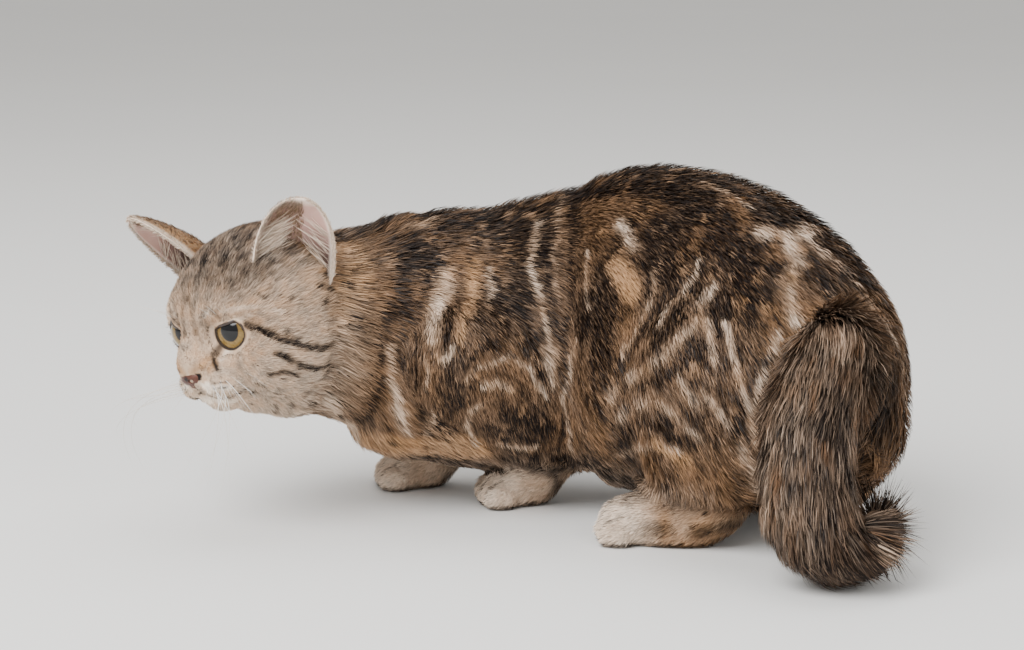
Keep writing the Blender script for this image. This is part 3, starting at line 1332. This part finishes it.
class CAT_OT_skin(bpy.types.Operator):
    """One skin over head, trunk, legs, feet and the tail's core"""

    bl_idname = "cat.skin"
    bl_label = "Skin"

    def execute(self, context):
        coat = context.scene.cat_coat
        points, triangles = flesh_shape(coat.skin_step)
        edges = edges_of(triangles)
        group = nearest_groups(points)
        face = belongs(group, "head", *FEET)
        points = smoothed(points, edges, 4, np.where(face, 0.35, 0.5))
        points = smoothed(points, edges, 8, np.where(face, 0.0, 0.5))
        place = in_head(points)
        fine = belongs(group, "head") & (place[:, 0] > 12)
        fine |= belongs(group, *FEET)
        points, triangles = split_finer(points, triangles, fine[triangles].all(1))
        edges = edges_of(triangles)
        group = nearest_groups(points)
        points = smoothed(points, edges, 2, 0.4)
        normals = normals_of(points, triangles)
        sizes = smoothed(coat_sizes(coat, points, group), edges, 14)
        lie = lie_of(points, group)
        for _ in range(2):
            lie = unit(lie - normals * dot(lie, normals)[:, None])
            lie = smoothed(lie, edges, 6)
        lie = unit(lie - normals * dot(lie, normals)[:, None])
        grooves = groove_face_and_feet(points, normals, group)
        inward = points - normals * (sizes[:, 0] + grooves)[:, None]
        low = points[:, 2] < 1.6
        inward[low, 2] = np.maximum(points[low, 2], 0.1)
        skin = set_lids(smoothed(inward, edges, 1, 0.3))
        black, tan, cream = markings(points, group, normals)
        tree = KDTree(len(skin))
        for i, corner in enumerate(skin.tolist()):
            tree.insert(corner, i)
        tree.balance()
        reach = 6.0
        ahead = skin[[tree.find(corner)[1] for corner in (skin + lie * reach).tolist()]]
        bend = np.clip(2 * dot(ahead - skin, normals) / reach**2, -0.07, 0.03)
        bend = smoothed(bend, edges, 10)
        values = {
            "black": black, "tan": tan, "cream": cream, "group": group, "rise": sizes[:, 1],
            "length": sizes[:, 2], "width": sizes[:, 3], "bend": bend, "deep": ease(1.6, 4.2, sizes[:, 1]),
            "lie_x": lie[:, 0], "lie_y": lie[:, 1], "lie_z": lie[:, 2],
        }
        mesh = new_mesh("skin", skin, [triangles], values)
        place_piece("skin", mesh, skin_finish(coat), FLESH + ("tail",))
        return {"FINISHED"}


class CAT_OT_head_coat(CoatMaker, bpy.types.Operator):
    """Short fine hair over the head, smallest on the muzzle"""

    bl_idname = "cat.head_coat"
    bl_label = "Head coat"
    piece, slot, groups, count, parts, clump = "coat_head", "face_coat", ("head",), 64000, 2, (3.0, 0.3)


class CAT_OT_neck_coat(CoatMaker, bpy.types.Operator):
    """The coat of neck and throat"""

    bl_idname = "cat.neck_coat"
    bl_label = "Neck coat"
    piece, slot, groups, count, clump = "coat_neck", "nape_coat", ("neck",), 32000, (5.0, 0.32)


class CAT_OT_shoulder_coat(CoatMaker, bpy.types.Operator):
    """The coat of the left shoulder and ribs"""

    bl_idname = "cat.shoulder_coat"
    bl_label = "Shoulder coat"
    piece, groups, count, clump = "coat_shoulder", ("torso",), 34000, (5.5, 0.32)
    side, trunk_range = 1, (140, 400)


class CAT_OT_loin_coat(CoatMaker, bpy.types.Operator):
    """The coat of the left loin and haunch"""

    bl_idname = "cat.loin_coat"
    bl_label = "Loin coat"
    piece, groups, count, clump = "coat_loin", ("torso",), 36000, (5.5, 0.34)
    side, trunk_range = 1, (-100, 140)


class CAT_OT_far_side_coat(CoatMaker, bpy.types.Operator):
    """The coat of the right side of the trunk"""

    bl_idname = "cat.far_side_coat"
    bl_label = "Right side coat"
    piece, groups, count, clump = "coat_far_side", ("torso",), 28000, (5.5, 0.32)
    side = -1


class CAT_OT_thigh_coat(CoatMaker, bpy.types.Operator):
    """The coat of both thighs"""

    bl_idname = "cat.thigh_coat"
    bl_label = "Thigh coat"
    piece, groups, count, clump = "coat_thighs", ("hind_leg_left", "hind_leg_right"), 36000, (5.5, 0.34)


class CAT_OT_leg_coat(CoatMaker, bpy.types.Operator):
    """The short coat of the forelegs"""

    bl_idname = "cat.leg_coat"
    bl_label = "Foreleg coat"
    piece, slot, groups = "coat_forelegs", "leg_coat", ("foreleg_left", "foreleg_right")
    count, parts, clump = 24000, 3, (4.0, 0.35)


class CAT_OT_paw_coat(CoatMaker, bpy.types.Operator):
    """The shortest hair, on the feet"""

    bl_idname = "cat.paw_coat"
    bl_label = "Paw coat"
    piece, slot, groups, count, parts, clump = "coat_paws", "paw_coat", tuple(FEET), 42000, 2, (2.5, 0.2)


class CAT_OT_tail_coat(CoatMaker, bpy.types.Operator):
    """The long hair of the tail"""

    bl_idname = "cat.tail_coat"
    bl_label = "Tail coat"
    piece, slot, groups, count, parts, clump = "coat_tail", "tail_coat", ("tail",), 22000, 4, (8.0, 0.5)


def ear_sheet(ends, v, t):
    """A place on the middle of an ear's sheet, up it and across it."""
    front, rear, tip, sign, blunt = ends
    front, rear, tip = (np.array(p, float) for p in (front, rear, tip))
    base, half = (front + rear) / 2, np.linalg.norm(rear - front) / 2
    across, rise = unit(rear - front), tip - base
    facing = unit(np.cross(across, unit(rise))) * sign
    v, t = np.asarray(v, float)[:, None], np.asarray(t, float)[:, None]
    above = np.maximum(v, 0)
    width = half * (1 - above**blunt) ** 0.55 * (1 + 0.35 * np.minimum(v, 0))
    depth = EAR_CUP * (1 - above**1.5) ** 0.8 * (1 - t * t)
    return on_head(base + rise * v + across * (width * t) - facing * depth), facing @ HEAD_AXES


class CAT_OT_ears(bpy.types.Operator):
    """Both ears: thin cupped shells, bare and pink inside, with fine hair on their backs and edges"""

    bl_idname = "cat.ears"
    bl_label = "Ears"

    def execute(self, context):
        coat, face = context.scene.cat_coat, context.scene.cat_face
        finish = Finish("ear_skin", roughness=0.55, specular_ior_level=0.35, subsurface_weight=0.15)
        finish.shader.inputs["Subsurface Radius"].default_value = (0.004, 0.0015, 0.001)
        veins = finish.grain(260.0, 3.0)
        inside = finish.mixed(face.ear_inside, (0.44, 0.26, 0.22), (veins * 1.2 - 0.3).clipped())
        depth = finish.attribute("depth")
        inside = finish.mixed(inside, (0.05, 0.025, 0.02), depth)
        back = finish.mixed(coat.tan, coat.black, 0.35)
        colour = finish.mixed(back, inside, finish.attribute("inner"))
        colour = finish.mixed(colour, coat.cream, finish.attribute("rim") * 0.7)
        finish.feed("Base Color", colour)
        finish.bump(veins, 0.0004, 0.5)
        rows, columns = 40, 33
        for name, ends in EARS.items():
            grid_v = np.minimum(-0.18 + 1.18 * np.linspace(0, 1, rows) ** 0.92, 0.992)
            v, t = (g.ravel() for g in np.meshgrid(grid_v, np.linspace(-1, 1, columns), indexing="ij"))
            sheet, facing = ear_sheet(ends, v, t)
            index = np.arange(rows * columns).reshape(rows, columns)
            quads = np.stack((index[:-1, :-1], index[:-1, 1:], index[1:, 1:], index[1:, :-1]), axis=-1)
            quads = quads.reshape(-1, 4)
            triangles = np.vstack((quads[:, (0, 1, 2)], quads[:, (0, 2, 3)]))
            normals = normals_of(sheet, triangles)
            normals *= np.sign(dot(normals, facing[None]).sum())
            edge = np.maximum(np.abs(t), v) ** 6
            thick = 0.75 - 0.35 * edge
            inner, outer = sheet + normals * thick[:, None], sheet - normals * thick[:, None]
            points = np.vstack((inner, outer))
            flip = quads[:, ::-1]
            corner, beside, _, below = quads[0]
            turned = np.cross(sheet[beside] - sheet[corner], sheet[below] - sheet[corner])
            if dot(turned, normals[corner]) < 0:
                quads, flip = flip, quads
            ring = np.concatenate((index[0, :-1], index[:-1, -1], index[-1, :0:-1], index[:0:-1, 0]))
            after = np.roll(ring, -1)
            wall = np.stack((ring, ring + len(sheet), after + len(sheet), after), axis=1)
            values = {
                "inner": np.repeat((1.0, 0.0), len(sheet)),
                "rim": np.tile(ease(0.88, 0.98, np.maximum(np.abs(t), v)), 2),
                "depth": np.tile(ease(0.75, 0.15, v) * ease(-0.6, 0.3, t), 2),
            }
            mesh = new_mesh(name + "_shell", points, [quads, flip + len(sheet), wall], values)
            place_piece(name + "_shell", mesh, finish.material, (name,))
            self.add_hair(context, name, ends, coat)
        return {"FINISHED"}

    def add_hair(self, context, name, ends, coat):
        """Short hair over the back and the edge, and long pale strands across the opening."""
        draw = np.random.default_rng(SEED + len(name))
        count = 7500
        v, t = draw.uniform(-0.2, 0.985, count), draw.uniform(-1, 1, count)
        kind = draw.random(count)
        edge = kind < 0.22
        lining = (kind > 0.66) & (kind < 0.93)
        t[lining] = draw.uniform(-0.98, 0.25, lining.sum())
        v[lining] = draw.uniform(0.0, 0.9, lining.sum())
        t[edge] = np.sign(t[edge]) * draw.uniform(0.93, 1.0, edge.sum())
        strands = kind > 0.93
        v[strands] = draw.uniform(-0.15, 0.55, strands.sum())
        t[strands] = -draw.uniform(0.80, 0.99, strands.sum())
        rear_strands = strands & (draw.random(count) < 0.12)
        t[rear_strands] *= -1
        place, facing = ear_sheet(ends, v, t)
        step = 0.01
        up = unit(ear_sheet(ends, v + step, t)[0] - place)
        over = unit(ear_sheet(ends, v, t + step)[0] - place)
        normals = unit(np.cross(over, up))
        normals *= np.sign(dot(normals, facing[None]))[:, None]
        out = np.sign(t)[:, None] * over
        lie = unit(up + 0.35 * out * np.abs(t)[:, None])
        lie[edge] = unit(0.8 * up + 0.5 * out)[edge]
        inward = -out
        lie[strands] = unit(0.75 * inward + 0.8 * up + 0.35 * normals)[strands]
        sizes = np.full((count, 3), (0.8, 0.0, 0.34))
        sizes[:, 1] = draw.uniform(2.6, 4.2, count)
        sizes[edge] = (0.4, 0.0, 0.3)
        sizes[edge, 1] = draw.uniform(1.6, 3.0, edge.sum())
        sizes[strands] = (0.0, 0.0, 0.26)
        sizes[strands, 0] = draw.uniform(0, 3, strands.sum())
        sizes[strands, 1] = draw.uniform(8, 19, strands.sum())
        back = ~edge & ~strands & ~lining
        sizes[back, 1] *= 1 - 0.6 * ease(0.75, 0.98, np.maximum(np.abs(t), v))[back]
        normals[back] *= -1
        roots = place + normals * 0.6
        lie = unit(lie - normals * dot(lie, normals)[:, None] * (~strands)[:, None])
        lie += draw.normal(0, 0.12, (count, 3))
        lie = unit(lie)
        border = ease(0.78, 0.98, np.maximum(np.abs(t), v))
        black = np.where(back, (0.30 + 0.3 * draw.random(count)) * (1 - border), 0.02)
        black[lining] = draw.uniform(0.05, 0.6, lining.sum())
        cream = np.where(edge, 0.75, np.where(strands, 0.62, 0.15 + 0.5 * border))
        tan = np.full(count, 0.35)
        tone = draw.normal(0, 0.4, count)
        chart = np.stack((0.02 + 0.95 * (t + 1) / 2, 0.02 + 0.95 * (v + 0.2) / 1.2), axis=1)
        mesh = tuft_mesh(
            name + "_hair", roots, lie, normals, sizes, np.zeros(count), np.zeros((count, 3)),
            [black, tan, cream, tone], chart, 3, draw,
        )
        place_piece(name + "_hair", mesh, tuft_finish(coat))


class CAT_OT_eyes(bpy.types.Operator):
    """Both eyeballs, with amber irises and upright pupils, and the dark rims of the lids"""

    bl_idname = "cat.eyes"
    bl_label = "Eyes"

    def execute(self, context):
        face = context.scene.cat_face
        finish = Finish(
            "eye", roughness=0.12, coat_weight=1.0, coat_roughness=0.02, coat_ior=1.36, specular_ior_level=0.1
        )
        across, up = finish.attribute("across"), finish.attribute("up")
        far = (across * across + up * up).root()
        spread = {0: across / (far + 0.02) * 5, 1: up / (far + 0.02) * 5, 2: far * 2}
        spread = finish.node("ShaderNodeCombineXYZ", None, spread)
        fibres = finish.node("ShaderNodeTexNoise", None, {"Vector": spread, "Scale": 2.2, "Detail": 4.0})
        iris = finish.mixed(face.iris_inner, face.iris, ((far - 0.25) * 3.2).clipped())
        iris = finish.scaled(iris, (0.26 + fibres * 0.5) * (1.0 - up * 0.7))
        iris = finish.mixed(iris, (0.030, 0.016, 0.010), ((far - 0.78) * 9).clipped())
        pupil = (across / 0.44) * (across / 0.44) + (up / 0.52) * (up / 0.52)
        finish.feed("Base Color", finish.mixed(iris, (0.003, 0.003, 0.004), ((1.05 - pupil) * 5).clipped()))
        rim = Finish("lid_rim", roughness=0.3, specular_ior_level=0.5)
        wet = rim.grain(700.0)
        rim.feed("Base Color", rim.mixed((0.015, 0.010, 0.008), (0.05, 0.03, 0.022), wet))
        rim.bump(wet, 0.0002, 0.5)
        for name, side in (("eye_left", 1), ("eye_right", -1)):
            axes = gaze_axes(side) @ HEAD_AXES
            middle = on_head((EYE_PLACE[0], EYE_PLACE[1] * side, EYE_PLACE[2]))
            upright = unit(np.array((0.0, 0.0, 1.0)) @ HEAD_AXES)
            look = unit(np.array(LOOK)) @ HEAD_AXES
            points, triangles, local = globe(look, upright, EYE_RADIUS - 0.05, 48, 72)
            values = {"across": local[:, 0], "up": np.where(local[:, 2] > 0, local[:, 1], 2.0)}
            mesh = new_mesh(name + "_ball", middle + points, [triangles], values)
            place_piece(name + "_ball", mesh, finish.material, (name,))
            outline = lid_outline(72)
            reach = EYE_RADIUS + 0.35
            depth = np.sqrt(reach**2 - (outline**2).sum(1))
            line = middle + np.column_stack((outline, depth)) @ axes
            ways = unit(np.roll(line, -1, axis=0) - np.roll(line, 1, axis=0))
            out = unit(line - middle)
            wide = np.cross(ways, out)
            turn = np.linspace(0, 2 * math.pi, 8, endpoint=False)[:, None, None]
            thick = (0.62 + 0.28 * ease(0, 4, outline[:, 1]))[None, :, None]
            rings = line + np.cos(turn) * wide * thick + np.sin(turn) * out * thick * 0.75
            index = np.arange(8 * 72).reshape(8, 72)
            right, above = np.roll(index, -1, axis=1), np.roll(index, -1, axis=0)
            faces = np.stack((index, right, np.roll(above, -1, axis=1), above), axis=-1).reshape(-1, 4)
            mesh = new_mesh(name + "_rim", rings.reshape(-1, 3), [faces])
            place_piece(name + "_rim", mesh, rim.material)
        return {"FINISHED"}


class CAT_OT_nose(bpy.types.Operator):
    """The nose leather, moist and pebbled, with dark nostrils"""

    bl_idname = "cat.nose"
    bl_label = "Nose"

    def execute(self, context):
        points, triangles = node_arrays("nose")
        mesh = new_mesh("nose", from_frame(points), [triangles])
        made = bpy.data.objects.new("nose", mesh)
        context.scene.collection.objects.link(made)
        made.modifiers.new("Subdivision", "SUBSURF").levels = 2
        points, triangles = with_modifiers(made)
        place = in_head(points) - NOSE_PLACE
        place[:, 1] = np.abs(place[:, 1])
        nostril = ease(2.3, 1.0, np.linalg.norm((place - NOSTRIL) / (2.4, 1.1, 1.1), axis=1))
        finish = Finish("nose_leather", roughness=0.40, specular_ior_level=0.3)
        pebbles = finish.node("ShaderNodeTexCoord", output="Object")
        pebbles = finish.node("ShaderNodeTexVoronoi", None, {"Vector": pebbles, "Scale": 1500.0})
        blotch = finish.grain(500.0, 2.0)
        nose = context.scene.cat_face.nose
        colour = finish.mixed(nose, [c * 0.45 for c in nose], (blotch * 1.6 - 0.4).clipped())
        finish.feed("Base Color", finish.mixed(colour, (0.008, 0.005, 0.005), finish.attribute("nostril")))
        finish.bump(pebbles, 0.00025, 0.6)
        mesh = new_mesh("nose_leather", points, [triangles], {"nostril": nostril})
        place_piece("nose_leather", mesh, finish.material, ("nose",))
        return {"FINISHED"}


class CAT_OT_whiskers(bpy.types.Operator):
    """Long pale whiskers of the muzzle and short ones over the eyes"""

    bl_idname = "cat.whiskers"
    bl_label = "Whiskers"

    def execute(self, context):
        draw = np.random.default_rng(SEED + 3)
        share = context.scene.cat_face.whisker_share
        hairs = []
        for side, tips in ((1, NEAR_WHISKERS), (-1, FAR_WHISKERS)):
            way = unit(np.array((0.45, 0.87 * side, 0.02))) @ HEAD_AXES
            for k, tip in enumerate(tips):
                back, down = divmod(k, 3)
                root = on_head((47.0 - 2.4 * back, (11.5 + 2.2 * back) * side, -18.0 - 2.4 * down))
                hairs.append((root, way, root + (tip - root) * share, WHISKER_RADIUS))
            for k in range(14):
                root = on_head((47.5 - 1.0 * k, (10.5 + 0.8 * k) * side, -17.0 - 2.3 * (k % 4)))
                way = np.array((0.7 - 0.05 * k, (0.5 + 0.05 * k) * side, -0.1 - 0.12 * (k % 4)))
                way = unit(way) @ HEAD_AXES
                tip = root + way * draw.uniform(9, 20) - (0, 0, 3)
                hairs.append((root, way, tip, CHEEK_HAIR_RADIUS))
            for k in range(4):
                root = on_head((35.0 - 1.5 * k, (14 + 2.2 * k) * side, 11.5))
                way = unit(np.array((0.6, (0.3 + 0.15 * k) * side, 0.7))) @ HEAD_AXES
                tip = root + way * draw.uniform(14, 24) - (0, 0, 2)
                hairs.append((root, way, tip, BROW_HAIR_RADIUS))
        points, faces, start = [], [], 0
        for hair in hairs:
            made = self.hair(*hair)
            points.append(made[0])
            faces.append(made[1] + start)
            start += len(made[0])
        finish = Finish("whisker", roughness=0.35, specular_ior_level=0.5)
        tint = finish.grain(90.0)
        finish.feed("Base Color", finish.mixed((0.82, 0.78, 0.72), (0.62, 0.56, 0.50), tint))
        mesh = new_mesh("whiskers", np.vstack(points), [np.vstack(faces)])
        place_piece("whiskers", mesh, finish.material)
        return {"FINISHED"}

    def hair(self, root, way, tip, radius):
        """One tapered hair that leaves the skin along a way and bends to its tip."""
        share = np.linspace(0, 1, 13)[:, None]
        middle = root + way * np.linalg.norm(tip - root) * 0.5
        line = root * (1 - share) ** 2 + middle * 2 * share * (1 - share) + tip * share**2
        line[:, 2] = np.maximum(line[:, 2], 1.5)
        return tube(line, radius * (1.02 - share[:, 0]), 5)


class CAT_OT_stage(bpy.types.Operator):
    """A plain pale floor, soft light and the camera at the photograph's angle"""

    bl_idname = "cat.stage"
    bl_label = "Stage"

    def execute(self, context):
        stage = context.scene.cat_stage
        half = FLOOR_HALF
        mesh = bpy.data.meshes.new("floor")
        corners = [(-half, -half, 0), (half, -half, 0), (half, half, 0), (-half, half, 0)]
        mesh.from_pydata(corners, [], [(0, 1, 2, 3)])
        floor = bpy.data.objects.new("floor", mesh)
        context.scene.collection.objects.link(floor)
        finish = Finish("floor", roughness=0.65)
        tone = finish.grain(3.0)
        finish.feed("Base Color", finish.mixed(stage.floor, [c * 0.96 for c in stage.floor], tone))
        mesh.materials.append(finish.material)
        lights = (
            ("key", (0.9, -0.7, 1.25), 1.3, stage.key_power),
            ("fill", (1.1, 1.1, 0.7), 1.2, stage.fill_power),
            ("top", (-0.5, 0.1, 1.5), 1.4, stage.fill_power * 1.3),
        )
        for name, place, size, power in lights:
            data = bpy.data.lights.new(name, "AREA")
            data.shape = "DISK"
            data.size = size
            data.energy = power
            light = bpy.data.objects.new(name, data)
            light.location = place
            light.rotation_mode = "QUATERNION"
            light.rotation_quaternion = (Vector((0, 0, 0.08)) - Vector(place)).to_track_quat("-Z", "Y")
            context.scene.collection.objects.link(light)
        world = bpy.data.worlds.new("room")
        world.use_nodes = True
        background = world.node_tree.nodes["Background"].inputs
        background["Color"].default_value = (*[c * 1.05 for c in stage.floor], 1)
        background["Strength"].default_value = stage.surround
        context.scene.world = world
        camera = bpy.data.objects.new("camera", bpy.data.cameras.new("camera"))
        camera.data.sensor_width = SENSOR
        camera.data.lens = LENS
        camera.data.clip_start = 0.01
        rise = stage.camera_elevation
        back = Vector((math.cos(rise), 0, math.sin(rise)))
        aim = Vector(to_frame(CAMERA_AIM))
        camera.location = aim + back * stage.camera_distance
        camera.rotation_mode = "QUATERNION"
        camera.rotation_quaternion = (-back).to_track_quat("-Z", "Y")
        context.scene.collection.objects.link(camera)
        context.scene.camera = camera
        return {"FINISHED"}


OPERATORS = (
    CAT_OT_skin, CAT_OT_head_coat, CAT_OT_neck_coat, CAT_OT_shoulder_coat, CAT_OT_loin_coat,
    CAT_OT_far_side_coat, CAT_OT_thigh_coat, CAT_OT_leg_coat, CAT_OT_paw_coat, CAT_OT_tail_coat,
    CAT_OT_ears, CAT_OT_eyes, CAT_OT_nose, CAT_OT_whiskers, CAT_OT_stage,
)
SETTINGS = {"cat_coat": CatCoatSettings, "cat_face": CatFaceSettings, "cat_stage": CatStageSettings}


class CAT_PT_panel(bpy.types.Panel):
    """Lists the pieces of the cat and its settings"""

    bl_idname = "CAT_PT_panel"
    bl_label = "Munchkin cat"
    bl_space_type = "VIEW_3D"
    bl_region_type = "UI"
    bl_category = "Cat"

    def draw(self, context):
        for key, settings in SETTINGS.items():
            column = self.layout.column(align=True)
            for name in settings.__annotations__:
                column.prop(getattr(context.scene, key), name)
        for operator in OPERATORS:
            self.layout.operator(operator.bl_idname)


CLASSES = tuple(SETTINGS.values()) + OPERATORS + (CAT_PT_panel,)


def register():
    """Registers the settings, the operators and the panel."""
    for made in CLASSES:
        bpy.utils.register_class(made)
    for key, settings in SETTINGS.items():
        setattr(bpy.types.Scene, key, PointerProperty(type=settings))


def unregister():
    """Takes them out again."""
    for key in SETTINGS:
        delattr(bpy.types.Scene, key)
    for made in reversed(CLASSES):
        bpy.utils.unregister_class(made)


def main():
    """Makes every piece in order."""
    register()
    for operator in OPERATORS:
        group, name = operator.bl_idname.split(".")
        getattr(getattr(bpy.ops, group), name)()


if __name__ == "__main__":
    main()
